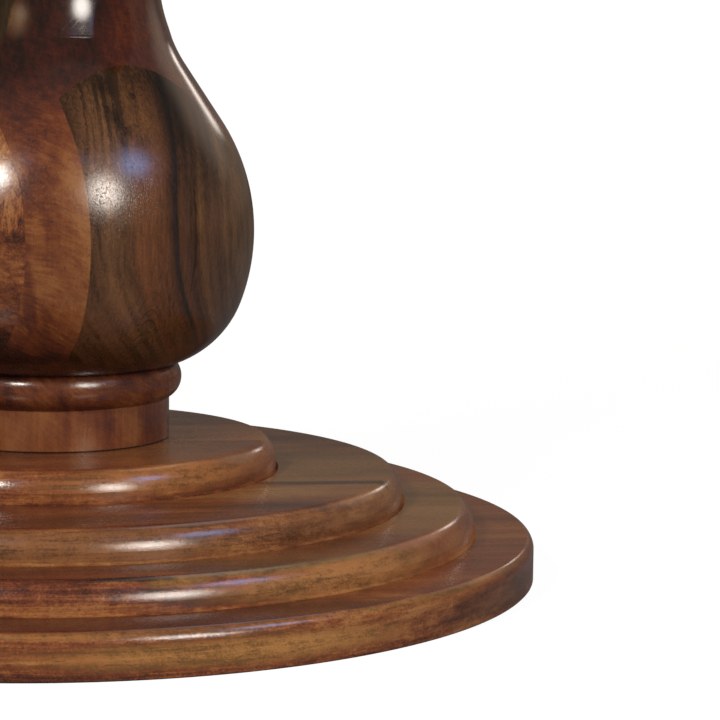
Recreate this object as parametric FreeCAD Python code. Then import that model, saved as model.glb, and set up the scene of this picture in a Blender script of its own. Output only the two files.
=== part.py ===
import FreeCAD, Part
import math
import os

# Pedestal table base in solid wood: four stacked discs, a turned column and a steel plate for the table top.
# Millimetres. Z is up and is the axis of the column, and z = 0 is the floor.

# Height from the floor to the upper face of the steel plate
BASE_HEIGHT = 720.0

# Discs, named from the floor up
BOTTOM_DISC_D = 800.0
BOTTOM_DISC_T = 36.0
LOWER_DISC_D = 700.0
LOWER_DISC_T = 25.5
UPPER_DISC_D = 581.0
UPPER_DISC_T = 26.0
TOP_DISC_D = 369.5
TOP_DISC_T = 26.0

# Rounded rims: how far the round reaches in from the edge, the upright band that is left below it,
# and the lean of the round where it meets that band in a crease
BOTTOM_RIM_IN = 7.5
BOTTOM_RIM_BAND = 27.0
BOTTOM_RIM_CREASE = 9.0
STEP_RIM_IN = 13.5
STEP_RIM_BAND = 9.0
STEP_RIM_CREASE = 12.0
LOWER_ARRIS = 1.0

# Small cove in which the rim of each stacked disc runs out onto the disc below, and the lip left under it
FOOT_COVE_R = 2.0
FOOT_LIP = 0.4

# Column: plinth and bead
PLINTH_R = 95.6
PLINTH_H = 33.8
PLINTH_ARRIS = 0.6
BEAD_R = 105.7
BEAD_H = 28.6
BEAD_APEX = 15.0
QUIRK_R = 101.0

# Column: a bulb that is a ball above a tighter heel, then a straight flank
BULB_R = 165.5
HEEL_R = 82.8
HEEL_ANGLE = 21.0
FLANK_ANGLE = 33.4

# Column: two coves with a narrow turned band between them, then a straight neck
LOWER_COVE_R = 112.0
LOWER_COVE_ANGLE = 21.8
NECK_BAND_H = 9.5
NECK_BAND_ANGLE = 18.0
UPPER_COVE_R = 128.0
UPPER_COVE_ANGLE = 20.3
NECK_R = 86.6

# Steel plate and its holes for the table top
PLATE_D = 360.0
PLATE_T = 8.0
PLATE_ARRIS = 1.0
TABLE_HOLE_D = 7.0
TABLE_HOLE_COUNT = 8
TABLE_HOLE_INSET = 20.0

# Countersunk screws that hold the plate to the column
PLATE_SCREW_D = 8.0
PLATE_SCREW_HEAD_D = 16.0
PLATE_SCREW_LEN = 90.0
PLATE_SCREW_COUNT = 4
PLATE_SCREW_INSET = 28.0

# Bolts from below the discs into threaded inserts in the column's foot
BOLT_D = 10.0
BOLT_HEAD_ACROSS = 17.0
BOLT_HEAD_H = 6.4
BOLT_BITE = 26.0
BOLT_COUNT = 4
BOLT_INSET = 32.0
WASHER_D = 24.0
WASHER_T = 2.5
INSERT_D = 16.0
INSERT_LEN = 32.0
COUNTERBORE_DEPTH = 16.0

# Countersunk wood screws that hold each disc to the one above it
DISC_SCREW_D = 5.0
DISC_SCREW_HEAD_D = 10.0
DISC_SCREW_LEN = 40.0
DISC_SCREW_COUNT = 8
DISC_SCREW_INSET = 45.0
DISC_SCREW_RECESS = 1.0
BOTTOM_SCREW_RECESS = 11.0

# Room around a fastener in a hole that it only passes through, and around a head or washer in its recess
SHANK_CLEARANCE = 0.5
HEAD_CLEARANCE = 1.0


def point(r, z):
    return FreeCAD.Vector(r, 0, z)


def turned(edges):
    """Solid of revolution about the Z axis from the closed outline of one half."""
    face = Part.Face(Part.Wire(edges))
    return face.revolve(FreeCAD.Vector(0, 0, 0), FreeCAD.Vector(0, 0, 1), 360)


def path(*points):
    """Straight edges from each point to the next."""
    return [Part.LineSegment(a, b).toShape() for a, b in zip(points, points[1:])]


def corner_round(start, corner, end):
    """Round curve inside a corner, tangent to both of its sides."""
    curve = Part.BezierCurve()
    curve.setPoles([start, corner, end])
    curve.setWeight(2, math.sqrt(0.5))
    return curve.toShape()


def arc(centre, radius, from_deg, to_deg):
    """Arc about a centre in the outline's plane, with angles measured from the outward direction."""
    spots = []
    for degrees in (from_deg, (from_deg + to_deg) / 2, to_deg):
        angle = math.radians(degrees)
        spots.append(centre + point(radius * math.cos(angle), radius * math.sin(angle)))
    return Part.Arc(*spots).toShape()


def cylinder(radius, z_low, z_high):
    return Part.makeCylinder(radius, z_high - z_low, point(0, z_low))


def on_circle(shape, radius, count):
    """Copies of a shape from the Z axis, spread over a circle."""
    copies = []
    for i in range(count):
        copy = shape.copy()
        copy.translate(point(radius, 0))
        copy.rotate(FreeCAD.Vector(0, 0, 0), FreeCAD.Vector(0, 0, 1), 360.0 * (i + 0.5) / count)
        copies.append(copy)
    return copies


def countersunk_screw(shank_d, head_d, length):
    """Wood screw on the Z axis, its flat head at z = 0 and its point up at z = length."""
    shank_r = shank_d / 2
    head_r = head_d / 2
    head_h = head_r - shank_r
    outline = path(
        point(0, 0), point(head_r, 0), point(shank_r, head_h),
        point(shank_r, length - shank_d), point(0, length), point(0, 0))
    return turned(outline)


def screw_passage(shank_d, head_d, recess, z_seat, z_end):
    """Recess, countersink and clearance hole for a screw that points up from its seat."""
    shank_r = shank_d / 2 + SHANK_CLEARANCE
    head_r = head_d / 2
    sink = Part.makeCone(head_r, shank_r, head_r - shank_r, point(0, z_seat))
    passage = sink.fuse(cylinder(shank_r, z_seat, z_end))
    if recess > 0:
        passage = passage.fuse(cylinder(head_r + HEAD_CLEARANCE, z_seat - recess, z_seat))
    return passage


def eased_foot(r, z):
    """Lower edge of the bottom disc, from the axis out, with its arris taken off."""
    return path(point(0, z), point(r - LOWER_ARRIS, z), point(r, z + LOWER_ARRIS))


def coved_foot(r, z):
    """Lower edge of a stacked disc, from the axis out, which runs out in a small cove."""
    lip_r = r + FOOT_COVE_R
    lip_z = z + FOOT_LIP
    edges = path(point(0, z), point(lip_r, z), point(lip_r, lip_z))
    edges.append(arc(point(lip_r, lip_z + FOOT_COVE_R), FOOT_COVE_R, 270, 180))
    return edges


def disc_blank(diameter, thickness, rim_in, rim_band, crease, foot, z):
    """Plain disc with a rounded upper rim, on the lower edge that foot draws."""
    r = diameter / 2
    top = z + thickness
    corner_r = r - (thickness - rim_band) * math.tan(math.radians(crease))
    outline = path(point(0, top), point(0, z)) + foot(r, z)
    outline += path(outline[-1].lastVertex().Point, point(r, z + rim_band))
    outline.append(corner_round(point(r, z + rim_band), point(corner_r, top), point(r - rim_in, top)))
    outline += path(point(r - rim_in, top), point(0, top))
    return turned(outline)


def column_blank(z_foot, z_head):
    """The whole column as it comes off the lathe: plinth, bead, bulb, coves and neck."""
    z_bead = z_foot + PLINTH_H
    z_quirk = z_bead + BEAD_H
    edges = path(
        point(0, z_head), point(0, z_foot), point(PLINTH_R - PLINTH_ARRIS, z_foot),
        point(PLINTH_R, z_foot + PLINTH_ARRIS), point(PLINTH_R, z_bead))
    bead = Part.Arc(point(PLINTH_R, z_bead), point(BEAD_R, z_bead + BEAD_APEX), point(QUIRK_R, z_quirk))
    edges.append(bead.toShape())

    heel = math.radians(HEEL_ANGLE)
    heel_centre_r = (BULB_R - HEEL_R) * math.cos(heel)
    heel_centre_z = z_quirk + math.sqrt(HEEL_R ** 2 - (QUIRK_R - heel_centre_r) ** 2)
    heel_end = math.degrees(math.atan2(z_quirk - heel_centre_z, QUIRK_R - heel_centre_r))
    edges.append(arc(point(heel_centre_r, heel_centre_z), HEEL_R, heel_end, -HEEL_ANGLE))

    bulb_z = heel_centre_z + (BULB_R - HEEL_R) * math.sin(heel)
    edges.append(arc(point(0, bulb_z), BULB_R, -HEEL_ANGLE, FLANK_ANGLE))

    flank = math.radians(FLANK_ANGLE)
    lower_cove = math.radians(LOWER_COVE_ANGLE)
    upper_cove = math.radians(UPPER_COVE_ANGLE)
    band_top_r = NECK_R + UPPER_COVE_R * (1 - math.cos(upper_cove))
    band_foot_r = band_top_r + NECK_BAND_H * math.tan(math.radians(NECK_BAND_ANGLE))
    flank_top_r = band_foot_r + LOWER_COVE_R * (math.cos(lower_cove) - math.cos(flank))
    flank_foot = point(BULB_R * math.cos(flank), bulb_z + BULB_R * math.sin(flank))
    flank_top_z = flank_foot.z + (flank_foot.x - flank_top_r) / math.tan(flank)
    flank_top = point(flank_top_r, flank_top_z)
    edges += path(flank_foot, flank_top)

    lower_centre = flank_top + point(math.cos(flank), math.sin(flank)) * LOWER_COVE_R
    edges.append(arc(lower_centre, LOWER_COVE_R, 180 + FLANK_ANGLE, 180 + LOWER_COVE_ANGLE))
    band_foot_z = lower_centre.z - LOWER_COVE_R * math.sin(lower_cove)
    band_top = point(band_top_r, band_foot_z + NECK_BAND_H)
    edges += path(point(band_foot_r, band_foot_z), band_top)

    neck_foot_z = band_top.z + UPPER_COVE_R * math.sin(upper_cove)
    edges.append(arc(point(NECK_R + UPPER_COVE_R, neck_foot_z), UPPER_COVE_R, 180 + UPPER_COVE_ANGLE, 180))
    edges += path(point(NECK_R, neck_foot_z), point(NECK_R, z_head), point(0, z_head))
    return turned(edges)


def hex_bolt(z_seat, z_end):
    """Hexagon-head bolt on the Z axis, its head below z_seat and its point at z_end."""
    corner_r = BOLT_HEAD_ACROSS / 2 / math.cos(math.radians(30))
    corners = []
    for i in range(7):
        angle = math.radians(60 * i)
        corners.append(FreeCAD.Vector(corner_r * math.cos(angle), corner_r * math.sin(angle), z_seat - BOLT_HEAD_H))
    head = Part.Face(Part.makePolygon(corners)).extrude(point(0, BOLT_HEAD_H))
    shank_r = BOLT_D / 2
    point_h = shank_r / 4
    shank = cylinder(shank_r, z_seat, z_end - point_h)
    tip = Part.makeCone(shank_r, shank_r - point_h, point_h, point(0, z_end - point_h))
    return head.fuse([shank, tip]).removeSplitter()


def tube(outer_r, inner_r, z_low, z_high):
    return cylinder(outer_r, z_low, z_high).cut(cylinder(inner_r, z_low, z_high))


def plate_blank(z_low, z_high):
    """Round plate with its upper and lower edges eased."""
    r = PLATE_D / 2
    inner = r - PLATE_ARRIS
    outline = path(
        point(0, z_high), point(0, z_low), point(inner, z_low), point(r, z_low + PLATE_ARRIS),
        point(r, z_high - PLATE_ARRIS), point(inner, z_high), point(0, z_high))
    return turned(outline)


# Heights of the faces on which the discs, the column and the plate stand
lower_z = BOTTOM_DISC_T
upper_z = lower_z + LOWER_DISC_T
top_z = upper_z + UPPER_DISC_T
foot_z = top_z + TOP_DISC_T
plate_z = BASE_HEIGHT - PLATE_T

bottom_rim = (BOTTOM_RIM_IN, BOTTOM_RIM_BAND, BOTTOM_RIM_CREASE, eased_foot)
step_rim = (STEP_RIM_IN, STEP_RIM_BAND, STEP_RIM_CREASE, coved_foot)
discs = {
    "base_disc_bottom": disc_blank(BOTTOM_DISC_D, BOTTOM_DISC_T, *bottom_rim, 0),
    "base_disc_lower": disc_blank(LOWER_DISC_D, LOWER_DISC_T, *step_rim, lower_z),
    "base_disc_upper": disc_blank(UPPER_DISC_D, UPPER_DISC_T, *step_rim, upper_z),
    "base_disc_top": disc_blank(TOP_DISC_D, TOP_DISC_T, *step_rim, top_z),
}
column = column_blank(foot_z, plate_z)

# Each joint between two discs: lower disc, its underside, recess of the screw heads, upper disc and its diameter
disc_joints = [
    ("base_disc_bottom", 0, BOTTOM_SCREW_RECESS, "base_disc_lower", lower_z, LOWER_DISC_D),
    ("base_disc_lower", lower_z, DISC_SCREW_RECESS, "base_disc_upper", upper_z, UPPER_DISC_D),
    ("base_disc_upper", upper_z, DISC_SCREW_RECESS, "base_disc_top", top_z, TOP_DISC_D),
]
disc_screws = []
for carrier, underside_z, recess, carried, joint_z, carried_d in disc_joints:
    ring_r = carried_d / 2 - DISC_SCREW_INSET
    seat_z = underside_z + recess
    passage = screw_passage(DISC_SCREW_D, DISC_SCREW_HEAD_D, recess, seat_z, joint_z)
    screw = countersunk_screw(DISC_SCREW_D, DISC_SCREW_HEAD_D, DISC_SCREW_LEN)
    screw.translate(point(0, seat_z))
    screws = on_circle(screw, ring_r, DISC_SCREW_COUNT)
    discs[carrier] = discs[carrier].cut(on_circle(passage, ring_r, DISC_SCREW_COUNT))
    discs[carried] = discs[carried].cut(screws)
    disc_screws += screws

# Bolts, washers and inserts that hold the column to the discs
bolt_ring_r = PLINTH_R - BOLT_INSET
bolt_seat_z = COUNTERBORE_DEPTH - WASHER_T
bolt_hole_r = BOLT_D / 2 + SHANK_CLEARANCE
bolts = on_circle(hex_bolt(bolt_seat_z, foot_z + BOLT_BITE), bolt_ring_r, BOLT_COUNT)
washer = tube(WASHER_D / 2, bolt_hole_r, bolt_seat_z, COUNTERBORE_DEPTH)
washers = on_circle(washer, bolt_ring_r, BOLT_COUNT)
insert = tube(INSERT_D / 2, BOLT_D / 2, foot_z, foot_z + INSERT_LEN)
inserts = on_circle(insert, bolt_ring_r, BOLT_COUNT)
bolt_passage = cylinder(bolt_hole_r, 0, foot_z)
bolt_passage = bolt_passage.fuse(cylinder(WASHER_D / 2 + HEAD_CLEARANCE, 0, COUNTERBORE_DEPTH))
bolt_passages = on_circle(bolt_passage, bolt_ring_r, BOLT_COUNT)
for name in discs:
    discs[name] = discs[name].cut(bolt_passages)
insert_hole = cylinder(INSERT_D / 2, foot_z, foot_z + INSERT_LEN)
column = column.cut(on_circle(insert_hole, bolt_ring_r, BOLT_COUNT))

# Plate with its holes, and the screws that go down through it into the column
plate_ring_r = NECK_R - PLATE_SCREW_INSET
plate_screw = countersunk_screw(PLATE_SCREW_D, PLATE_SCREW_HEAD_D, PLATE_SCREW_LEN)
plate_passage = screw_passage(PLATE_SCREW_D, PLATE_SCREW_HEAD_D, 0, 0, PLATE_T)
for shape in (plate_screw, plate_passage):
    shape.rotate(FreeCAD.Vector(0, 0, 0), FreeCAD.Vector(1, 0, 0), 180)
    shape.translate(point(0, BASE_HEIGHT))
plate_screws = on_circle(plate_screw, plate_ring_r, PLATE_SCREW_COUNT)
column = column.cut(plate_screws)
table_hole = cylinder(TABLE_HOLE_D / 2, plate_z, BASE_HEIGHT)
table_holes = on_circle(table_hole, PLATE_D / 2 - TABLE_HOLE_INSET, TABLE_HOLE_COUNT)
plate = plate_blank(plate_z, BASE_HEIGHT)
plate = plate.cut(table_holes + on_circle(plate_passage, plate_ring_r, PLATE_SCREW_COUNT))

pieces = dict(discs)
pieces["column"] = column
pieces["top_plate"] = plate
pieces["plate_screws"] = Part.makeCompound(plate_screws)
pieces["column_bolts"] = Part.makeCompound(bolts)
pieces["column_washers"] = Part.makeCompound(washers)
pieces["column_inserts"] = Part.makeCompound(inserts)
pieces["disc_screws"] = Part.makeCompound(disc_screws)

os.makedirs("parts", exist_ok=True)
for name, shape in pieces.items():
    shape.exportStep(os.path.join("parts", name + ".step"))
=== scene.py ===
import math

import bmesh
import bpy
from mathutils import Matrix
from mathutils import Vector
from mathutils.geometry import interpolate_bezier


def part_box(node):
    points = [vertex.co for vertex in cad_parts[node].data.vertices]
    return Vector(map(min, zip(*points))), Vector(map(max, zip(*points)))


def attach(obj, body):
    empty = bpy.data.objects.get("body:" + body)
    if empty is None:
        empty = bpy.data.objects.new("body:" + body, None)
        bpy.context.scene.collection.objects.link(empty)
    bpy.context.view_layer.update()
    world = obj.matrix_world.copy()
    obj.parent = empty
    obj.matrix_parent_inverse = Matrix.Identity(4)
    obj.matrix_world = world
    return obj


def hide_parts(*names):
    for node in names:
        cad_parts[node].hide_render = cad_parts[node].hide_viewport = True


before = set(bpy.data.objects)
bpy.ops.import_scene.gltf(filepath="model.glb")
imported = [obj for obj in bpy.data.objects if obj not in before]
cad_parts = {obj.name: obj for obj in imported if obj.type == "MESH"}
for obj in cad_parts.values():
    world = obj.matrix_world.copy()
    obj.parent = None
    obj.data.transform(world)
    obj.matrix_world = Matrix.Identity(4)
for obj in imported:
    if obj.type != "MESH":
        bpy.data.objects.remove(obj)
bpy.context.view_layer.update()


# Bottom disc
# The widest disc, glued up from thick boards of streaked golden-brown hardwood and turned to a round.
# It stands on the floor, and its underside has recesses for the bolts and for the screws into the next disc.
TURN_STEPS = 256
ROUND_STEPS = 24
ARC_STEP_DEG = 2.0
HOLE_STEPS = 48
SHARP_ANGLE = math.radians(8)
ROUND_PULL = 0.5523
FLAT_EDGE = 0.002
CUT_PAST = 0.002
ARRIS = 0.001


class LathePen:
    """Draws one half of a turned outline in the XZ plane, then turns it about the Z axis."""

    def __init__(self, r, z):
        self.shape = bmesh.new()
        self.tip = self.shape.verts.new((r, 0, z))

    def line(self, r, z):
        self.tip = bmesh.ops.extrude_vert_indiv(self.shape, verts=[self.tip])["verts"][0]
        self.tip.co = (r, 0, z)

    def round(self, corner_r, corner_z, r, z):
        """Round curve to r, z that is tangent to both sides of a corner."""
        start = self.tip.co.copy()
        corner = Vector((corner_r, 0, corner_z))
        end = Vector((r, 0, z))
        pulls = start.lerp(corner, ROUND_PULL), end.lerp(corner, ROUND_PULL)
        for spot in interpolate_bezier(start, *pulls, end, ROUND_STEPS + 1)[1:]:
            self.line(spot.x, spot.z)

    def arc(self, centre_r, centre_z, degrees, step_deg=ARC_STEP_DEG):
        """Arc about a centre, with positive degrees turning from outwards to upwards."""
        swept = bmesh.ops.spin(
            self.shape, geom=[self.tip], cent=(centre_r, 0, centre_z), axis=(0, -1, 0),
            angle=math.radians(degrees), steps=math.ceil(abs(degrees) / step_deg))
        self.tip = [part for part in swept["geom_last"] if isinstance(part, bmesh.types.BMVert)][0]

    def turned(self, steps):
        outline = self.shape.verts[:] + self.shape.edges[:]
        bmesh.ops.spin(
            self.shape, geom=outline, cent=(0, 0, 0), axis=(0, 0, 1),
            angle=math.tau, steps=steps, use_merge=True)
        bmesh.ops.remove_doubles(self.shape, verts=self.shape.verts, dist=1e-6)
        bmesh.ops.recalc_face_normals(self.shape, faces=self.shape.faces)
        return self.shape


def placed(shape, name):
    """Puts a finished shape into the scene as an object at the origin."""
    mesh = bpy.data.meshes.new(name)
    shape.to_mesh(mesh)
    shape.free()
    piece = bpy.data.objects.new(name, mesh)
    bpy.context.scene.collection.objects.link(piece)
    return piece


def hole_ring(outline, ring_r, count):
    """Cutters for round stepped holes, drawn from their lower to their upper end and spread over a circle."""
    pen = LathePen(0, outline[0][1])
    for r, z in outline:
        pen.line(r, z)
    pen.line(0, outline[-1][1])
    cutter = pen.turned(HOLE_STEPS)
    bmesh.ops.translate(cutter, verts=cutter.verts, vec=(ring_r, 0, 0))
    bmesh.ops.rotate(cutter, verts=cutter.verts, matrix=Matrix.Rotation(math.pi / count, 3, "Z"))
    first = cutter.verts[:] + cutter.edges[:] + cutter.faces[:]
    bmesh.ops.spin(
        cutter, geom=first, cent=(0, 0, 0), axis=(0, 0, 1),
        angle=math.tau * (count - 1) / count, steps=count - 1, use_duplicate=True)
    bmesh.ops.recalc_face_normals(cutter, faces=cutter.faces)
    return placed(cutter, "cutter")


def bored(piece, cutters):
    """Cuts the holes out of a turned piece, then shades it smooth up to its creases."""
    for cutter in cutters:
        cut = piece.modifiers.new("holes", "BOOLEAN")
        cut.object = cutter
        cut.solver = "EXACT"
    graph = bpy.context.evaluated_depsgraph_get()
    piece.data = bpy.data.meshes.new_from_object(piece.evaluated_get(graph))
    piece.data.name = piece.name
    piece.modifiers.clear()
    for cutter in cutters:
        bpy.data.objects.remove(cutter)
    piece.data.shade_smooth()
    piece.data.set_sharp_from_angle(angle=SHARP_ANGLE)


class Socket:
    """An output of a shader node. Operators on values add Math nodes, and node() adds any other node."""

    def __init__(self, tree, output):
        self.tree = tree
        self.output = output

    def node(self, kind, settings, sockets, output=0):
        made = self.tree.nodes.new(kind)
        for name, value in settings.items():
            if name == "stops":
                elements = made.color_ramp.elements
                elements[0].position, elements[0].color = value[0]
                elements[1].position, elements[1].color = value[-1]
                for position, colour in value[1:-1]:
                    elements.new(position).color = colour
            else:
                setattr(made, name, value)
        for name, value in sockets.items():
            if isinstance(value, Socket):
                self.tree.links.new(value.output, made.inputs[name])
            else:
                made.inputs[name].default_value = value
        return Socket(self.tree, made.outputs[output]) if made.outputs else None

    def maths(self, operation, first, second=0.0):
        return self.node("ShaderNodeMath", {"operation": operation}, {0: first, 1: second})

    def __add__(self, other):
        return self.maths("ADD", self, other)

    def __radd__(self, other):
        return self.maths("ADD", other, self)

    def __sub__(self, other):
        return self.maths("SUBTRACT", self, other)

    def __rsub__(self, other):
        return self.maths("SUBTRACT", other, self)

    def __mul__(self, other):
        return self.maths("MULTIPLY", self, other)

    def __truediv__(self, other):
        return self.maths("DIVIDE", self, other)

    def __abs__(self):
        return self.maths("ABSOLUTE", self)


def start_finish(name):
    """A new material and its Object coordinates."""
    material = bpy.data.materials.new(name)
    material.use_nodes = True
    material.node_tree.nodes.clear()
    coordinates = material.node_tree.nodes.new("ShaderNodeTexCoord")
    return material, Socket(material.node_tree, coordinates.outputs["Object"])


def end_finish(place, sockets):
    """The surface shader of a material."""
    shader = place.node("ShaderNodeBsdfPrincipled", {}, sockets)
    place.node("ShaderNodeOutputMaterial", {}, {"Surface": shader})


def split(vector):
    return [vector.node("ShaderNodeSeparateXYZ", {}, {"Vector": vector}, axis) for axis in range(3)]


def joined(x, y, z):
    return x.node("ShaderNodeCombineXYZ", {}, {"X": x, "Y": y, "Z": z})


def noise(vector, scale, detail=2.0, roughness=0.5):
    return vector.node(
        "ShaderNodeTexNoise", {},
        {"Vector": vector, "Scale": scale, "Detail": detail, "Roughness": roughness})


def fade(value, start, end):
    """Smooth rise from 0 where the value is start to 1 where it is end."""
    return value.node(
        "ShaderNodeMapRange", {"interpolation_type": "SMOOTHSTEP"},
        {"Value": value, "From Min": start, "From Max": end})


MIX_FACTOR = 0
MIX_UNDER = 6
MIX_OVER = 7
MIX_RESULT = 2


def tint(mask, under, over):
    """One colour laid over another where a mask is 1."""
    return mask.node(
        "ShaderNodeMix", {"data_type": "RGBA", "blend_type": "MIX"},
        {MIX_FACTOR: mask, MIX_UNDER: under, MIX_OVER: over}, MIX_RESULT)


def ramp(value, stops):
    return value.node("ShaderNodeValToRGB", {"stops": stops}, {"Fac": value})


def shaded(colour, light):
    """Colour multiplied by a value or by another colour."""
    return colour.node(
        "ShaderNodeMix", {"data_type": "RGBA", "blend_type": "MULTIPLY"},
        {MIX_FACTOR: 1.0, MIX_UNDER: colour, MIX_OVER: light}, MIX_RESULT)


def patch(place, centre, radii, wander, soft=0.25):
    """Soft-edged mask of a rounded patch in the wood, its outline moved in and out by wander."""
    offset = place.node("ShaderNodeVectorMath", {"operation": "SUBTRACT"}, {0: place, 1: centre})
    shares = place.node("ShaderNodeVectorMath", {"operation": "DIVIDE"}, {0: offset, 1: radii})
    reach = place.node("ShaderNodeVectorMath", {"operation": "LENGTH"}, {0: shares}, "Value")
    return fade(reach + wander, 1 + soft, 1 - soft)


def lacquer(place, colour, roughness, relief, bare=None):
    """Clear lacquer over wood, with the fine grain as a faint relief, and without gloss where a mask is 1."""
    bump = place.node("ShaderNodeBump", {}, {"Strength": 0.5, "Distance": 0.0003, "Height": relief})
    surface = place.node("ShaderNodeBsdfPrincipled", {}, {
        "Base Color": colour, "Roughness": roughness, "IOR": 1.55, "Normal": bump})
    if bare is not None:
        dull = place.node("ShaderNodeBsdfPrincipled", {}, {
            "Base Color": colour, "Roughness": 1.0, "Specular IOR Level": 0.0})
        surface = place.node("ShaderNodeMixShader", {}, {0: bare, 1: surface, 2: dull})
    place.node("ShaderNodeOutputMaterial", {}, {"Surface": surface})


# Painted shade on the disc tops: their colour is darkened, strongly towards the front and back, and only a
# little, and warmer, in a band through the middle.
TOP_PAINTED_SHADE = (0.72, 0.58, 0.60, 1)
MIDDLE_TOP_PAINTED_SHADE = (0.95, 0.95, 0.86, 1)
# Painted highlight: a golden line along each disc's foot cove, which is left without gloss.
FOOT_PAINTED_HIGHLIGHT = (0.360, 0.170, 0.062, 1)


def disc_wood(name, node, turn_deg, shift, board_width, tone, gold, marks):
    """Streaked boards side by side, their grain turned from the X axis, with marks of other colours."""
    material, place = start_finish(name)
    laid = place.node(
        "ShaderNodeMapping", {},
        {"Vector": place, "Rotation": (0, 0, -math.radians(turn_deg)), "Location": shift})
    along, across, up = split(laid)
    low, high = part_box(node)
    x, y, z = split(place)
    face = fade(z, high.z - 0.0022, high.z - 0.0003)
    board = across.maths("FLOOR", across / board_width)
    sway = noise(joined(along * 2.5, across * 5.0, up * 14.0), 1.0, 1.0) - 0.5
    side = across + sway * 0.030
    level = up + sway * 0.012
    bands = noise(joined(along * 3.2 + board * 0.3, side * 22.0, level * 125.0), 1.0, 4.0, 0.58) - 0.5
    zones = noise(joined(along * 1.8 + board * 0.3, side * 6.0, level * 38.0), 1.0, 2.0) - 0.5
    streaks = noise(joined(along * 7.0, side * 75.0, up * 20.0), 1.0, 3.0, 0.6) - 0.5
    lines = noise(joined(along * 14.0, across * 210.0, up * 520.0), 1.0, 3.0, 0.6) - 0.5
    curl = noise(joined(along * 95.0 + sway * 8.0, across * 40.0, up * 60.0), 1.0, 2.0) - 0.5
    flecks = noise(joined(along * 480.0, across * 520.0, up * 600.0), 1.0, 3.0, 0.7) - 0.5
    pores = fade(noise(joined(along * 200.0, across * 1200.0, up * 1200.0), 1.0, 1.0), 0.58, 0.72)
    rag = noise(joined(along * 55.0, across * 70.0, up * 190.0), 1.0, 3.0, 0.6) - 0.5
    calm = 1 - fade(abs(x), high.x * 0.55, high.x * 0.85) * 0.65
    fine = (lines * 0.9 + curl * 0.6 + flecks * 0.9) * (1 - face * 0.6) * calm
    depth = 0.5 + (bands * 1.8 + rag * 0.3) * calm + zones * 1.3 + face * streaks * 0.5 + fine + gold
    browns = [
        (0.05, (0.045, 0.019, 0.013)), (0.28, (0.110, 0.034, 0.017)), (0.50, (0.205, 0.068, 0.026)),
        (0.68, (0.280, 0.112, 0.038)), (0.95, (0.390, 0.195, 0.068))]
    colour = ramp(depth, [(at, (r * tone[0], g * tone[1], b * tone[2], 1)) for at, (r, g, b) in browns])
    grain = bands * 1.4 + fine
    wander = zones * 1.6 + grain * 0.9 + rag * 0.8
    for centre, radii, stain in marks:
        dark = tuple(0.45 * c for c in stain[:3]) + (1,)
        mark = patch(place, centre, radii, wander, 0.45)
        colour = tint(mark * 0.85, colour, tint(fade(grain, -0.35, 0.20), dark, stain))
    colour = tint(pores * 0.45, colour, (0.030, 0.014, 0.010, 1))
    # Painted shade: the top faces are darkened, less in a band through the middle to the left and right.
    middle_band = fade(abs(y), 0.24, 0.06)
    colour = tint(face, colour, shaded(tint(middle_band, TOP_PAINTED_SHADE, MIDDLE_TOP_PAINTED_SHADE), colour))
    roughness = 0.19 + flecks * 0.30 + pores * 0.10 + face * 0.05
    foot = None
    # Painted highlight along the foot cove: a lighter golden line in patches, with no gloss there.
    if node != "base_disc_bottom":
        foot = fade(z, low.z + 0.0034, low.z + 0.0014)
        colour = tint(foot * fade(zones + rag, -0.12, 0.12) * 0.28, colour, FOOT_PAINTED_HIGHLIGHT)
    lacquer(place, colour, roughness, (flecks * 0.50 + lines * 0.20) * (1 - face) * calm, foot)
    return material


FOOT_COVE = 0.002
FOOT_LIP = 0.0004
COVE_STEP_DEG = 7.5


def turned_disc(node, rim_in, rim_band, crease_deg, foot_cove, cutters):
    """Disc as wide and as thick as the solid it stands for, its upper rim rounded over to a crease."""
    low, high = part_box(node)
    r = high.x - foot_cove
    corner_r = r - (high.z - low.z - rim_band) * math.tan(math.radians(crease_deg))
    pen = LathePen(0, low.z)
    if foot_cove:
        pen.line(high.x, low.z)
        pen.line(high.x, low.z + FOOT_LIP)
        pen.arc(high.x, low.z + FOOT_LIP + foot_cove, -90, COVE_STEP_DEG)
    else:
        pen.line(r - ARRIS, low.z)
        pen.line(r, low.z + ARRIS)
    pen.line(r, low.z + rim_band)
    pen.round(corner_r, high.z, r - rim_in, high.z)
    pen.line(r - rim_in - FLAT_EDGE, high.z)
    pen.line(0, high.z)
    piece = placed(pen.turned(TURN_STEPS), node + "_turned")
    bored(piece, cutters)
    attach(piece, "root")
    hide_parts(node)
    return piece


BOLT_RING_R = 0.0636
BOLT_COUNT = 4
BOLT_HOLE_R = 0.0055
BOLT_RECESS_R = 0.013
BOLT_RECESS_H = 0.016
SCREW_COUNT = 8
SCREW_INSET = 0.045
SCREW_LENGTH = 0.040
SCREW_R = 0.0025
SCREW_HEAD_R = 0.005
SCREW_RECESS_R = 0.006
SCREW_RECESS_H = 0.001
DEEP_SCREW_RECESS_H = 0.011
CLEARANCE_R = 0.003
POINT_R = 0.0002


def bolt_holes(node):
    """Clearance holes for the column's bolts."""
    low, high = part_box(node)
    outline = [(BOLT_HOLE_R, low.z - CUT_PAST), (BOLT_HOLE_R, high.z + CUT_PAST)]
    return hole_ring(outline, BOLT_RING_R, BOLT_COUNT)


def screw_passages(node, node_above, recess):
    """Recessed and countersunk holes for the screws that hold the next disc."""
    low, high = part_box(node)
    ring_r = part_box(node_above)[1].x - FOOT_COVE - SCREW_INSET
    seat = low.z + recess
    outline = [
        (SCREW_RECESS_R, low.z - CUT_PAST), (SCREW_RECESS_R, seat), (SCREW_HEAD_R, seat),
        (CLEARANCE_R, seat + SCREW_HEAD_R - CLEARANCE_R), (CLEARANCE_R, high.z + CUT_PAST)]
    return hole_ring(outline, ring_r, SCREW_COUNT)


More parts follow.
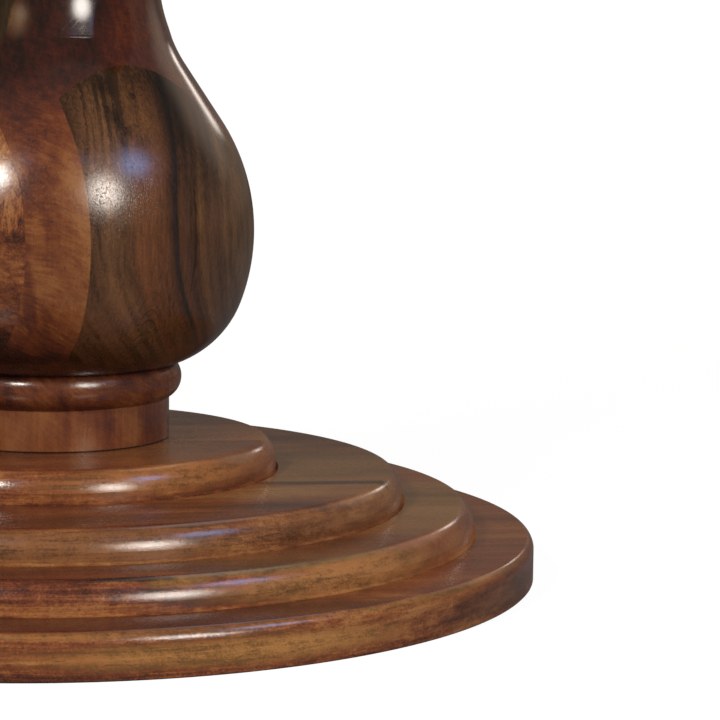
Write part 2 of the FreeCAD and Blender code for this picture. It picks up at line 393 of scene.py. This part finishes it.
def screw_pilots(node, node_below, recess):
    """Blind holes that the screws from the disc below bite into."""
    low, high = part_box(node)
    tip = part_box(node_below)[0].z + recess + SCREW_LENGTH
    outline = [(SCREW_R, low.z - CUT_PAST), (SCREW_R, tip - 2 * SCREW_R), (POINT_R, tip)]
    return hole_ring(outline, high.x - FOOT_COVE - SCREW_INSET, SCREW_COUNT)


bolt_recess = hole_ring(
    [(BOLT_RECESS_R, -CUT_PAST), (BOLT_RECESS_R, BOLT_RECESS_H)], BOLT_RING_R, BOLT_COUNT)
bottom_disc = turned_disc(
    "base_disc_bottom", rim_in=0.0075, rim_band=0.027, crease_deg=9, foot_cove=0, cutters=[
        bolt_holes("base_disc_bottom"), bolt_recess,
        screw_passages("base_disc_bottom", "base_disc_lower", DEEP_SCREW_RECESS_H)])
bottom_disc.data.materials.append(disc_wood(
    "bottom_disc_wood", "base_disc_bottom", turn_deg=3, shift=(0.31, 0.02, 0.013), board_width=0.13,
    tone=(1.15, 1.02, 0.98), gold=0.03, marks=[
        ((0.150, -0.372, 0.017), (0.150, 0.08, 0.009), (0.530, 0.250, 0.076, 1)),
        ((0.120, -0.345, 0.0360), (0.260, 0.07, 0.0012), (0.120, 0.044, 0.024, 1)),
        ((0.020, -0.390, 0.0325), (0.200, 0.06, 0.0022), (0.340, 0.145, 0.044, 1)),
        ((0.300, -0.300, 0.033), (0.140, 0.14, 0.0022), (0.290, 0.135, 0.042, 1)),
        ((0.350, -0.180, 0.012), (0.100, 0.12, 0.014), (0.165, 0.058, 0.024, 1))]))


# Lower disc
# The second disc, planed a little thinner and rounded over more deeply at its upper rim.
# Screws from the bottom disc hold it, and its own screws go up into the disc above.
RIM_IN = 0.0135
RIM_BAND = 0.009
RIM_CREASE_DEG = 12

lower_disc = turned_disc("base_disc_lower", RIM_IN, RIM_BAND, RIM_CREASE_DEG, FOOT_COVE, [
    bolt_holes("base_disc_lower"),
    screw_pilots("base_disc_lower", "base_disc_bottom", DEEP_SCREW_RECESS_H),
    screw_passages("base_disc_lower", "base_disc_upper", SCREW_RECESS_H)])
lower_disc.data.materials.append(disc_wood(
    "lower_disc_wood", "base_disc_lower", turn_deg=-2, shift=(1.7, 0.05, 0.41), board_width=0.12,
    tone=(1.1, 0.98, 1.0), gold=0.05, marks=[
        ((0.230, -0.262, 0.047), (0.110, 0.08, 0.011), (0.460, 0.205, 0.068, 1)),
        ((0.290, -0.080, 0.0615), (0.110, 0.13, 0.0012), (0.330, 0.160, 0.055, 1)),
        ((0.190, -0.295, 0.0600), (0.110, 0.08, 0.0022), (0.240, 0.140, 0.050, 1)),
        ((0.090, -0.335, 0.0575), (0.020, 0.02, 0.0034), (0.380, 0.185, 0.055, 1)),
        ((0.056, -0.340, 0.0605), (0.032, 0.014, 0.0014), (0.032, 0.018, 0.012, 1))]))


# Upper disc
# The third disc, of the same boards, with a dark streak through its top.
# Screws from below hold it to the lower disc.
upper_disc = turned_disc("base_disc_upper", RIM_IN, RIM_BAND, RIM_CREASE_DEG, FOOT_COVE, [
    bolt_holes("base_disc_upper"),
    screw_pilots("base_disc_upper", "base_disc_lower", SCREW_RECESS_H),
    screw_passages("base_disc_upper", "base_disc_top", SCREW_RECESS_H)])
upper_disc.data.materials.append(disc_wood(
    "upper_disc_wood", "base_disc_upper", turn_deg=8, shift=(3.1, 0.09, 0.77), board_width=0.14,
    tone=(1, 1, 1), gold=0.02, marks=[
        ((0.020, -0.285, 0.073), (0.160, 0.06, 0.011), (0.260, 0.110, 0.042, 1)),
        ((0.205, -0.205, 0.075), (0.090, 0.09, 0.011), (0.230, 0.090, 0.036, 1)),
        ((0.230, -0.040, 0.0875), (0.090, 0.09, 0.0012), (0.260, 0.122, 0.046, 1)),
        ((0.230, -0.092, 0.0875), (0.110, 0.009, 0.006), (0.060, 0.028, 0.018, 1))]))


# Top disc
# The smallest disc, under the column, with a lens of golden sapwood in the front of its rim.
# Screws from the upper disc hold it, and the column's bolts pass through it.
top_disc = turned_disc("base_disc_top", RIM_IN, RIM_BAND, RIM_CREASE_DEG, FOOT_COVE, [
    bolt_holes("base_disc_top"),
    screw_pilots("base_disc_top", "base_disc_upper", SCREW_RECESS_H)])
top_disc.data.materials.append(disc_wood(
    "top_disc_wood", "base_disc_top", turn_deg=2, shift=(4.6, 0.04, 1.13), board_width=0.16,
    tone=(1.08, 0.98, 0.95), gold=-0.03, marks=[
        ((0.086, -0.150, 0.104), (0.088, 0.12, 0.0100), (0.380, 0.150, 0.046, 1))]))


# Disc screws
# Countersunk wood screws of bright zinc-plated steel that hold each disc to the next.
# Their heads sit in recesses under the discs, out of sight once the base stands.
def plated(name, colour, stain, roughness):
    """Plated metal with faint cloudy stains and fine drawn scratches."""
    material, place = start_finish(name)
    clouds = noise(place, 90.0, 3.0)
    x, y, z = split(place)
    scratches = noise(joined(x * 900.0, y * 900.0, z * 60.0), 1.0, 2.0)
    relief = place.node(
        "ShaderNodeBump", {}, {"Strength": 0.08, "Distance": 0.0002, "Height": scratches})
    end_finish(place, {
        "Base Color": tint(fade(clouds, 0.35, 0.75), colour, stain),
        "Metallic": 1.0,
        "Roughness": roughness + clouds * 0.12 + scratches * 0.08,
        "Normal": relief,
    })
    return material


def dress(node, material):
    """Gives a solid's own object a finish."""
    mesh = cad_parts[node].data
    mesh.materials.clear()
    mesh.materials.append(material)


zinc = plated("bright_zinc", (0.62, 0.62, 0.60, 1), (0.50, 0.49, 0.46, 1), 0.24)
dress("disc_screws", zinc)


# Column
# One turned piece with plinth, bead, bulb and neck, from a red-brown core with walnut-brown blocks glued on
# before turning. The lathe cuts through the blocks, so that each shows as an arched field on the bulb.
PLINTH_R = 0.0956
PLINTH_H = 0.0338
PLINTH_ARRIS = 0.0006
BEAD_R = 0.1057
BEAD_H = 0.0286
BEAD_APEX = 0.015
QUIRK_R = 0.101
BULB_R = 0.1655
HEEL_R = 0.0828
HEEL_DEG = 21.0
FLANK_DEG = 33.4
LOWER_COVE_R = 0.112
LOWER_COVE_DEG = 21.8
NECK_BAND_H = 0.0095
NECK_BAND_DEG = 18.0
UPPER_COVE_R = 0.128
UPPER_COVE_DEG = 20.3
NECK_R = 0.0866
INSERT_R = 0.008
INSERT_LENGTH = 0.032
PLATE_SCREW_R = 0.004
PLATE_SCREW_RING_R = 0.0586
PLATE_SCREW_LENGTH = 0.090
PLATE_SCREW_COUNT = 4


def centre_of_arc(first, middle, last):
    """Centre and turn in degrees of the arc through three points of an outline."""
    (ax, az), (bx, bz), (cx, cz) = first, middle, last
    twice = 2 * (ax * (bz - cz) + bx * (cz - az) + cx * (az - bz))
    a2, b2, c2 = ax * ax + az * az, bx * bx + bz * bz, cx * cx + cz * cz
    r = (a2 * (bz - cz) + b2 * (cz - az) + c2 * (az - bz)) / twice
    z = (a2 * (cx - bx) + b2 * (ax - cx) + c2 * (bx - ax)) / twice
    turn = math.degrees(math.atan2(cz - z, cx - r) - math.atan2(az - z, ax - r))
    return r, z, turn


def turned_column():
    """The whole column, drawn from its foot up to its head."""
    low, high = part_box("column")
    bead_z = low.z + PLINTH_H
    quirk_z = bead_z + BEAD_H
    pen = LathePen(0, low.z)
    pen.line(PLINTH_R - PLINTH_ARRIS - FLAT_EDGE, low.z)
    pen.line(PLINTH_R - PLINTH_ARRIS, low.z)
    pen.line(PLINTH_R, low.z + PLINTH_ARRIS)
    pen.line(PLINTH_R, bead_z)
    pen.arc(*centre_of_arc((PLINTH_R, bead_z), (BEAD_R, bead_z + BEAD_APEX), (QUIRK_R, quirk_z)))

    heel = math.radians(HEEL_DEG)
    flank = math.radians(FLANK_DEG)
    heel_r = (BULB_R - HEEL_R) * math.cos(heel)
    heel_z = quirk_z + math.sqrt(HEEL_R ** 2 - (QUIRK_R - heel_r) ** 2)
    heel_start = math.degrees(math.atan2(quirk_z - heel_z, QUIRK_R - heel_r))
    bulb_z = heel_z + (BULB_R - HEEL_R) * math.sin(heel)
    pen.arc(heel_r, heel_z, -HEEL_DEG - heel_start)
    pen.arc(0, bulb_z, HEEL_DEG + FLANK_DEG)

    lower_cove = math.radians(LOWER_COVE_DEG)
    upper_cove = math.radians(UPPER_COVE_DEG)
    band_top_r = NECK_R + UPPER_COVE_R * (1 - math.cos(upper_cove))
    band_foot_r = band_top_r + NECK_BAND_H * math.tan(math.radians(NECK_BAND_DEG))
    flank_top_r = band_foot_r + LOWER_COVE_R * (math.cos(lower_cove) - math.cos(flank))
    flank_rise = (BULB_R * math.cos(flank) - flank_top_r) / math.tan(flank)
    flank_top_z = bulb_z + BULB_R * math.sin(flank) + flank_rise
    pen.line(flank_top_r, flank_top_z)
    lower_centre_z = flank_top_z + LOWER_COVE_R * math.sin(flank)
    pen.arc(flank_top_r + LOWER_COVE_R * math.cos(flank), lower_centre_z, LOWER_COVE_DEG - FLANK_DEG)
    band_top_z = lower_centre_z - LOWER_COVE_R * math.sin(lower_cove) + NECK_BAND_H
    pen.line(band_top_r, band_top_z)
    pen.arc(NECK_R + UPPER_COVE_R, band_top_z + UPPER_COVE_R * math.sin(upper_cove), -UPPER_COVE_DEG)
    pen.line(NECK_R, high.z)
    pen.line(NECK_R - FLAT_EDGE, high.z)
    pen.line(0, high.z)
    piece = placed(pen.turned(TURN_STEPS), "column_turned")

    screw_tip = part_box("top_plate")[1].z - PLATE_SCREW_LENGTH
    insert_hole = [(INSERT_R, low.z - CUT_PAST), (INSERT_R, low.z + INSERT_LENGTH)]
    screw_hole = [
        (POINT_R, screw_tip), (PLATE_SCREW_R, screw_tip + 2 * PLATE_SCREW_R),
        (PLATE_SCREW_R, high.z + CUT_PAST)]
    bored(piece, [
        hole_ring(insert_hole, BOLT_RING_R, BOLT_COUNT),
        hole_ring(screw_hole, PLATE_SCREW_RING_R, PLATE_SCREW_COUNT)])
    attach(piece, "root")
    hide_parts("column")
    return piece


GLUE_EDGE = 0.0005
NECK_LINE_Z = 0.4447


def distance_along(place, direction):
    return place.node(
        "ShaderNodeVectorMath", {"operation": "DOT_PRODUCT"}, {0: place, 1: direction}, "Value")


def stroke(place, start, end, width, wander):
    """Mask of a thin line in the wood between two points."""
    run = Vector(end) - Vector(start)
    offset = place.node("ShaderNodeVectorMath", {"operation": "SUBTRACT"}, {0: place, 1: start})
    share = distance_along(offset, run / run.length_squared)
    share = place.node("ShaderNodeClamp", {}, {"Value": share})
    nearest = place.node("ShaderNodeVectorMath", {"operation": "SCALE"}, {0: run, "Scale": share})
    away = place.node("ShaderNodeVectorMath", {"operation": "DISTANCE"}, {0: offset, 1: nearest}, "Value")
    return fade(away + wander * width, width, width * 0.3)


def block_field(place, facing_deg, face, left, right):
    """Mask of a glued block with its inner face and sides at distances from the axis, and places in it."""
    facing = math.radians(facing_deg)
    outward = distance_along(place, (math.sin(facing), -math.cos(facing), 0))
    sideways = distance_along(place, (math.cos(facing), math.sin(facing), 0))
    mask = fade(outward, face - GLUE_EDGE, face + GLUE_EDGE)
    mask = mask * fade(sideways, left - GLUE_EDGE, left + GLUE_EDGE)
    mask = mask * fade(sideways, right + GLUE_EDGE, right - GLUE_EDGE)
    return mask, sideways, outward


def column_wood():
    """Red-brown core with a curly figure, three walnut-brown blocks with dark streaks, and a tan block."""
    material, place = start_finish("column_wood")
    x, y, z = split(place)
    sway = noise(joined(x * 9.0, y * 9.0, z * 7.0), 1.0, 1.0) - 0.5
    fibre = noise(joined(x * 480.0, y * 480.0, z * 40.0), 1.0, 3.0, 0.65) - 0.5
    flecks = noise(joined(x * 620.0, y * 620.0, z * 480.0), 1.0, 2.0, 0.6) - 0.5
    rag = noise(joined(x * 190.0, y * 190.0, z * 150.0), 1.0, 3.0, 0.6) - 0.5
    pores = fade(noise(joined(x * 1200.0, y * 1200.0, z * 400.0), 1.0, 1.0), 0.56, 0.70)

    # Core, darker on the neck and on the bead, with painted shade under the bulb at its heel
    slant = z + x * 0.4 + sway * 0.08
    strokes = noise(joined(x * 75.0 + sway * 3.0, y * 75.0, slant * 290.0), 1.0, 4.0, 0.65) - 0.5
    upright = noise(joined(x * 230.0 + sway * 3.0, y * 230.0, z * 14.0), 1.0, 3.0, 0.6) - 0.5
    clouds = noise(joined(x * 34.0, y * 34.0, z * 28.0 + x * 12.0), 1.0, 2.0) - 0.5
    wander = clouds * 1.8 + strokes * 1.0 + rag * 0.8
    neck = fade(z + sway * 0.05, 0.338, 0.430)
    # Painted shade: the underside of the bulb above the bead is darkened where it faces down.
    heel = fade(z + sway * 0.03, 0.235, 0.190) * fade(z, 0.172, 0.180)
    bead = fade(z, 0.146, 0.149) * fade(z, 0.179, 0.173)
    plinth = fade(z, 0.149, 0.146)
    glow = patch(place, (0.030, -0.155, 0.305), (0.024, 0.08, 0.100), wander, 0.5)
    shade = patch(place, (-0.014, -0.155, 0.335), (0.020, 0.06, 0.032), wander, 0.6)
    wedge = patch(place, (-0.018, -0.150, 0.240), (0.005, 0.08, 0.026), wander * 0.3, 0.5)
    redder = fade(x, 0.030, 0.055) * neck
    depth = 0.65 + strokes * (0.90 - plinth * 0.55 - neck * 0.60)
    depth = depth + upright * (0.35 + plinth * 0.15 + neck * 0.1)
    depth = depth + clouds * (1.1 - neck * 0.7) + flecks * 0.20 + glow * 0.20 - shade * 0.17 - wedge * 0.30
    depth = depth - neck * 0.56 + redder * 0.21 - heel * 0.48 - bead * 0.13
    # The plinth is a little lighter overall, and darker on its right as painted shade.
    depth = depth + plinth * (0.07 - fade(x, 0.025, 0.065) * 0.17)
    colour = ramp(depth, [
        (0.00, (0.022, 0.014, 0.012, 1)), (0.25, (0.066, 0.020, 0.014, 1)),
        (0.50, (0.140, 0.038, 0.016, 1)), (0.75, (0.220, 0.072, 0.024, 1)),
        (1.00, (0.300, 0.120, 0.040, 1))])

    # Walnut blocks, each with a dark heart streak that leans as it rises
    rise = z - 0.295
    lean = rise * rise * 3.48 - rise * rise * rise * 17.0
    for facing, turned_over, right in ((122, -1, 0.126), (212, 1, 0.126), (32, 1, 0.128)):
        mask, sideways, outward = block_field(place, facing, 0.1075, -0.062, right)
        off_heart = sideways * turned_over - 0.010 - lean + sway * 0.007 + rag * 0.003
        bands = noise(joined(off_heart * 120.0, outward * 14.0, z * 6.0 + facing), 1.0, 4.0, 0.65) - 0.5
        tone = noise(joined(off_heart * 34.0, outward * 9.0, z * 14.0 + facing), 1.0, 3.0, 0.6) - 0.5
        rings = noise(joined(off_heart * 300.0, outward * 25.0, z * 4.0 + facing), 1.0, 1.0) - 0.5
        nested = fade(rings, 0.0, -0.13) * fade(off_heart, -0.020, -0.045) * fade(z, 0.33, 0.37)
        crown = fade(z + rag * 0.03 + tone * 0.04, 0.392, 0.414)
        shoulder = fade(z, 0.345, 0.395)
        light = 1.04 + bands * (1.6 - shoulder * 0.6) + tone * 1.7 + fibre * 1.3 + flecks * 0.6
        # The walnut is darkened by the painted shade under the bulb as well.
        light = light - heel * 0.45 - nested * 0.45 - crown * 0.40 - shoulder * 0.30
        light = light.maths("MAXIMUM", light, 0.25)
        walnut = shaded(ramp((off_heart + bands * 0.010 + 0.080) / 0.160, [
            (0.00, (0.110, 0.046, 0.020, 1)), (0.14, (0.150, 0.066, 0.027, 1)),
            (0.22, (0.122, 0.052, 0.021, 1)), (0.28, (0.145, 0.051, 0.018, 1)),
            (0.40, (0.128, 0.046, 0.018, 1)), (0.46, (0.090, 0.034, 0.015, 1)),
            (0.490, (0.028, 0.015, 0.012, 1)), (0.506, (0.028, 0.015, 0.012, 1)),
            (0.530, (0.098, 0.037, 0.016, 1)), (0.575, (0.064, 0.028, 0.016, 1)),
            (0.625, (0.112, 0.045, 0.019, 1)), (0.655, (0.160, 0.071, 0.026, 1)),
            (0.70, (0.098, 0.043, 0.020, 1)), (0.78, (0.088, 0.040, 0.021, 1)),
            (0.86, (0.132, 0.064, 0.028, 1)), (1.00, (0.132, 0.066, 0.030, 1))]), light)
        colour = tint(mask, colour, walnut)

    # Knots, stains and strokes of the last walnut block, on the right of the front
    flat = joined(sideways + tone * 0.016 + rag * 0.004, 0.0, z + rag * 0.006)
    ragged = bands * 1.6 + rag * 1.8
    golden = shaded(tint(rag + 0.5, (0.11, 0.044, 0.016, 1), (0.25, 0.110, 0.036, 1)), light)
    sapwood = patch(flat, (-0.008, 0, 0.386), (0.016, 1, 0.024), ragged, 0.6)
    colour = tint(mask * sapwood * 0.6, colour, golden)
    smoky = shaded(colour, (0.34, 0.36, 0.42, 1))
    colour = tint(mask * patch(flat, (0.043, 0, 0.388), (0.030, 1, 0.048), ragged * 0.6, 0.6), colour, smoky)
    dark = shaded(colour, (0.24, 0.24, 0.28, 1))
    for s, height, wide, tall, soft in (
            (-0.0255, 0.407, 0.0085, 0.008, 0.7), (-0.0275, 0.384, 0.0045, 0.008, 0.7),
            (-0.0192, 0.3727, 0.0034, 0.0055, 0.4), (-0.0048, 0.3990, 0.0024, 0.0024, 0.4)):
        colour = tint(mask * patch(flat, (s, 0, height), (wide, 1, tall), ragged, soft) * 0.70, colour, dark)
    for start, end, width in (
            ((0.0197, 0, 0.418), (0.0300, 0, 0.396), 0.0014),
            ((-0.0235, 0, 0.378), (-0.0195, 0, 0.374), 0.0012),
            ((0.0300, 0, 0.326), (0.0285, 0, 0.247), 0.0012)):
        colour = tint(mask * stroke(flat, start, end, width, ragged) * 0.65, colour, dark)
    outline = fade(sideways + rag * 0.004, -0.056, -0.0615) * fade(z, 0.350, 0.372)
    colour = tint(mask * outline * 0.6, colour, dark)
    arch = z + (sideways + 0.008) * (sideways + 0.008) * 110.0
    arch = noise(joined(arch * 260.0, outward * 30.0, outward), 1.0, 2.0) - 0.5
    arch = fade(arch, 0.02, -0.14) * patch(flat, (-0.006, 0, 0.226), (0.018, 1, 0.024), ragged)
    colour = tint(mask * arch * 0.6, colour, dark)

    # Tan block on the left of the front, with a dark band across it
    mask, sideways, outward = block_field(place, -58, 0.105, -0.075, 0.140)
    swirl = noise(
        joined(sideways * 70.0 + sway * 3.0, outward * 30.0, z * 150.0 + sway * 9.0), 1.0, 4.0, 0.65) - 0.5
    plain = noise(joined(sideways * 150.0, outward * 20.0, z * 9.0), 1.0, 3.0, 0.6) - 0.5
    upper = fade(z + swirl * 0.02, 0.285, 0.305)
    band = fade(abs(z - 0.295 + sway * 0.012 + plain * 0.03 + rag * 0.02), 0.013, 0.002)
    depth = 0.51 + upper * 0.10 + plain * (0.5 + upper * 0.9) + swirl * (1.35 - upper * 0.6)
    depth = depth + flecks * 0.5 + fibre * upper * 1.3
    # The tan block is darkened by the painted shade under the bulb too, and darker towards its bottom.
    depth = depth - heel * 0.35 - band * 0.26 - fade(z, 0.27, 0.215) * 0.14
    tan = ramp(depth, [
        (0.05, (0.030, 0.014, 0.011, 1)), (0.25, (0.080, 0.025, 0.014, 1)),
        (0.45, (0.175, 0.051, 0.019, 1)), (0.65, (0.280, 0.100, 0.033, 1)),
        (0.95, (0.400, 0.180, 0.060, 1))])
    colour = tint(mask, colour, tan)

    # Painted highlight on the neck, a dim golden spot where a lamp would be reflected, a dark stave on the
    # neck, and the joint under the plinth
    # Painted highlight: the golden spot stands in for a lamp's dull reflection, and the lacquer there has no
    # gloss.
    painted_glint = patch(place, (-0.029, -0.089, 0.460), (0.008, 0.03, 0.011), wander * 0.3, 0.9)
    colour = tint(painted_glint * 0.8, colour, (0.160, 0.082, 0.036, 1))
    stave = fade(x - (z - 0.457) * 0.286 + upright * 0.004, -0.0335, -0.0360)
    stave = stave * fade(z, 0.420, 0.438) * fade(y, 0.0, -0.02)
    olive = shaded(tint(upright + 0.5, (0.016, 0.012, 0.010, 1), (0.060, 0.038, 0.019, 1)), 1 + fibre)
    colour = tint(stave, colour, olive)
    joint = fade(z, 0.1153, 0.1141)
    colour = tint(joint, colour, (0.012, 0.009, 0.008, 1))
    colour = tint(pores * 0.35, colour, (0.024, 0.013, 0.010, 1))

    # Lacquer, with sanding scratches on the neck, two patches without gloss on its front, and a fine line with
    # a strip without gloss below it, which go round the neck but for its right side
    sanded = fade(z, 0.427, 0.433) * fade(z, 0.475, 0.448)
    scratches = fade(noise(joined(x * 50.0, y * 50.0, (z - x * 1.2) * 800.0), 1.0, 1.0), 0.58, 0.70)
    off_right = fade(x, 0.055, 0.035)
    ring = fade(abs(z - NECK_LINE_Z), 0.0012, 0.0003) * off_right
    limb = fade(x, 0.075, 0.095)
    bare = patch(place, (-0.027, -0.083, 0.455), (0.034, 0.06, 0.060), wander * 0.1, 0.35) * 0.98
    bare = bare + patch(place, (0.0470, -0.083, 0.448), (0.0165, 0.05, 0.034), wander * 0.05, 0.12)
    strip = fade(z, NECK_LINE_Z - 0.0005, NECK_LINE_Z - 0.0013) * fade(z, 0.420, 0.430)
    bare = bare + strip * off_right
    worked = (1 - limb * 0.8) * (1 - neck * 0.85)
    pitted = pores * fade(x, 0.026, 0.034)
    roughness = 0.20 + (flecks * 0.34 + pores * 0.10) * worked - neck * 0.06
    relief = (flecks * 0.30 - pitted * 0.25) * worked + sanded * scratches * 0.10 + ring * 1.5
    lacquer(place, colour, roughness, relief, bare)
    return material


column = turned_column()
column.data.materials.append(column_wood())


# Column bolts, washers and inserts
# Hexagon bolts with washers go up through the discs into brass inserts in the column's foot.
# They are tightened from below, in recesses in the bottom disc.
dress("column_bolts", zinc)
dress("column_washers", zinc)
dress("column_inserts", plated("turned_brass", (0.70, 0.50, 0.22, 1), (0.52, 0.35, 0.15, 1), 0.26))


# Top plate
# Round steel plate with a black powder coat, on the column's head, with holes for the table top's screws.
# Four countersunk screws hold it to the column.
def powder_coat():
    material, place = start_finish("black_powder_coat")
    grain = noise(place, 1400.0, 2.0)
    clouds = noise(place, 14.0, 2.0)
    relief = place.node(
        "ShaderNodeBump", {}, {"Strength": 0.25, "Distance": 0.0003, "Height": grain})
    end_finish(place, {
        "Base Color": tint(clouds, (0.018, 0.018, 0.018, 1), (0.032, 0.031, 0.030, 1)),
        "Roughness": 0.42 + grain * 0.16,
        "Normal": relief,
    })
    return material


dress("top_plate", powder_coat())
dress("plate_screws", zinc)


# Floor
# Plain white studio floor that keeps a soft shadow of the base.
# To the camera most of its white is its own light, of which reflections show little.
FLOOR_HALF = 300.0
FLOOR_SHOWN = 0.92
FLOOR_MIRRORED = 0.04
FLOOR_NEAR = 0.6
FLOOR_FAR = 4.0
FLOOR_PAINT = (0.15, 0.15, 0.15, 1)


def floor_finish():
    material, place = start_finish("white_floor")
    seen, glossy, through = [
        place.node("ShaderNodeLightPath", {}, {}, ray)
        for ray in ("Is Camera Ray", "Is Glossy Ray", "Is Transmission Ray")]
    away = place.node("ShaderNodeVectorMath", {"operation": "LENGTH"}, {0: place}, "Value")
    own = FLOOR_SHOWN + fade(away, FLOOR_NEAR, FLOOR_FAR) * (1 - FLOOR_SHOWN)
    own = own * (seen + (glossy + through) * FLOOR_MIRRORED)
    paint = place.node("ShaderNodeBsdfDiffuse", {}, {"Color": FLOOR_PAINT})
    white = place.node("ShaderNodeEmission", {}, {"Color": own, "Strength": 1.0})
    surface = place.node("ShaderNodeAddShader", {}, {0: paint, 1: white})
    place.node("ShaderNodeOutputMaterial", {}, {"Surface": surface})
    return material


floor_shape = bmesh.new()
bmesh.ops.create_grid(floor_shape, x_segments=1, y_segments=1, size=FLOOR_HALF)
floor = placed(floor_shape, "floor")
floor.data.materials.append(floor_finish())


# Studio light
# Two round soft lamps in front, bluish windows, a dim lamp overhead, a warm window at the side and a lamp
# far behind on the right. Most are brightest in their middle, and the lacquer shows them in a dim room.
LAMP_REACH = 2.5
FAR_REACH = 7.5
LAMP_AIM = Vector((0.0, 0.0, 0.2))
NEST_SHARES = (1.0, 0.86, 0.70, 0.48)
NEST_GAP = 0.01


def soft_lamp(name, azimuth_deg, height_deg, width, tall, colour, radiance, reach=LAMP_REACH):
    """Soft lamp that faces the base. Azimuth is measured from the front, with positive to the right."""
    azimuth, height = math.radians(azimuth_deg), math.radians(height_deg)
    toward = Vector((
        math.sin(azimuth) * math.cos(height), -math.cos(azimuth) * math.cos(height), math.sin(height)))
    light = bpy.data.lights.new(name, "AREA")
    light.shape = "ELLIPSE"
    light.size = width
    light.size_y = tall
    light.color = colour
    light.energy = radiance * math.pi * (math.pi / 4 * width * tall)
    lamp = bpy.data.objects.new(name, light)
    lamp.location = LAMP_AIM + toward * reach
    lamp.rotation_euler = toward.to_track_quat("Z", "Y").to_euler()
    lamp.visible_camera = False
    bpy.context.scene.collection.objects.link(lamp)


def nested_lamp(name, azimuth_deg, height_deg, width, tall, colour, radiance, reach=LAMP_REACH):
    """Lamp with a soft edge, of smaller lamps in front of larger ones that add up to the radiance."""
    for layer, share in enumerate(NEST_SHARES):
        soft_lamp(
            name, azimuth_deg, height_deg, width * share, tall * share, colour,
            radiance / len(NEST_SHARES), reach - layer * NEST_GAP)


WARM = (1.0, 0.94, 0.86)
BLUISH = (0.27, 0.50, 1.0)
nested_lamp("lamp_right", 31, 24.5, 2.65, 2.65, WARM, 23.5, FAR_REACH)
nested_lamp("lamp_left", -34, 33, 0.52, 0.52, WARM, 66.0)
soft_lamp("overhead", 150, 66, 1.80, 1.50, (1.0, 0.96, 0.92), 1.2)
nested_lamp("window_right", 54, 37, 0.90, 0.62, BLUISH, 9.0)
nested_lamp("window_side", 128, 27, 1.4, 1.4, (1.0, 0.76, 0.58), 0.58)
soft_lamp("skylight_right", 23, 43, 0.40, 0.14, BLUISH, 2.5)
soft_lamp("skylight_left", -20, 43, 0.40, 0.14, BLUISH, 2.5)
nested_lamp("lamp_behind", 147.5, 17, 0.90, 0.90, (1.0, 0.88, 0.78), 6.0, FAR_REACH)

world = bpy.data.worlds.new("dim_room")
world.use_nodes = True
world.node_tree.nodes["Background"].inputs["Color"].default_value = (0.155, 0.138, 0.118, 1)
world.node_tree.nodes["Background"].inputs["Strength"].default_value = 1.0
bpy.context.scene.world = world
bpy.context.scene.view_settings.view_transform = "Standard"


# Camera
# It stands in front of the base, a little above the middle of the column.
# It looks down and to the right of the axis, so that the left of the base is out of the picture.
CAMERA_PLACE = (0.0, -2.4, 0.4921)
CAMERA_PAN_DEG = -6.073
CAMERA_DIP_DEG = 7.476
CAMERA_ROLL_DEG = 0.619
CAMERA_LENS = 145.2

lens = bpy.data.cameras.new("camera")
lens.lens = CAMERA_LENS
camera = bpy.data.objects.new("camera", lens)
turn = Matrix.Rotation(math.radians(CAMERA_PAN_DEG), 4, "Z")
tilt = Matrix.Rotation(math.radians(90 - CAMERA_DIP_DEG), 4, "X")
roll = Matrix.Rotation(math.radians(CAMERA_ROLL_DEG), 4, "Z")
camera.matrix_world = Matrix.Translation(CAMERA_PLACE) @ turn @ tilt @ roll
bpy.context.scene.collection.objects.link(camera)
bpy.context.scene.camera = camera
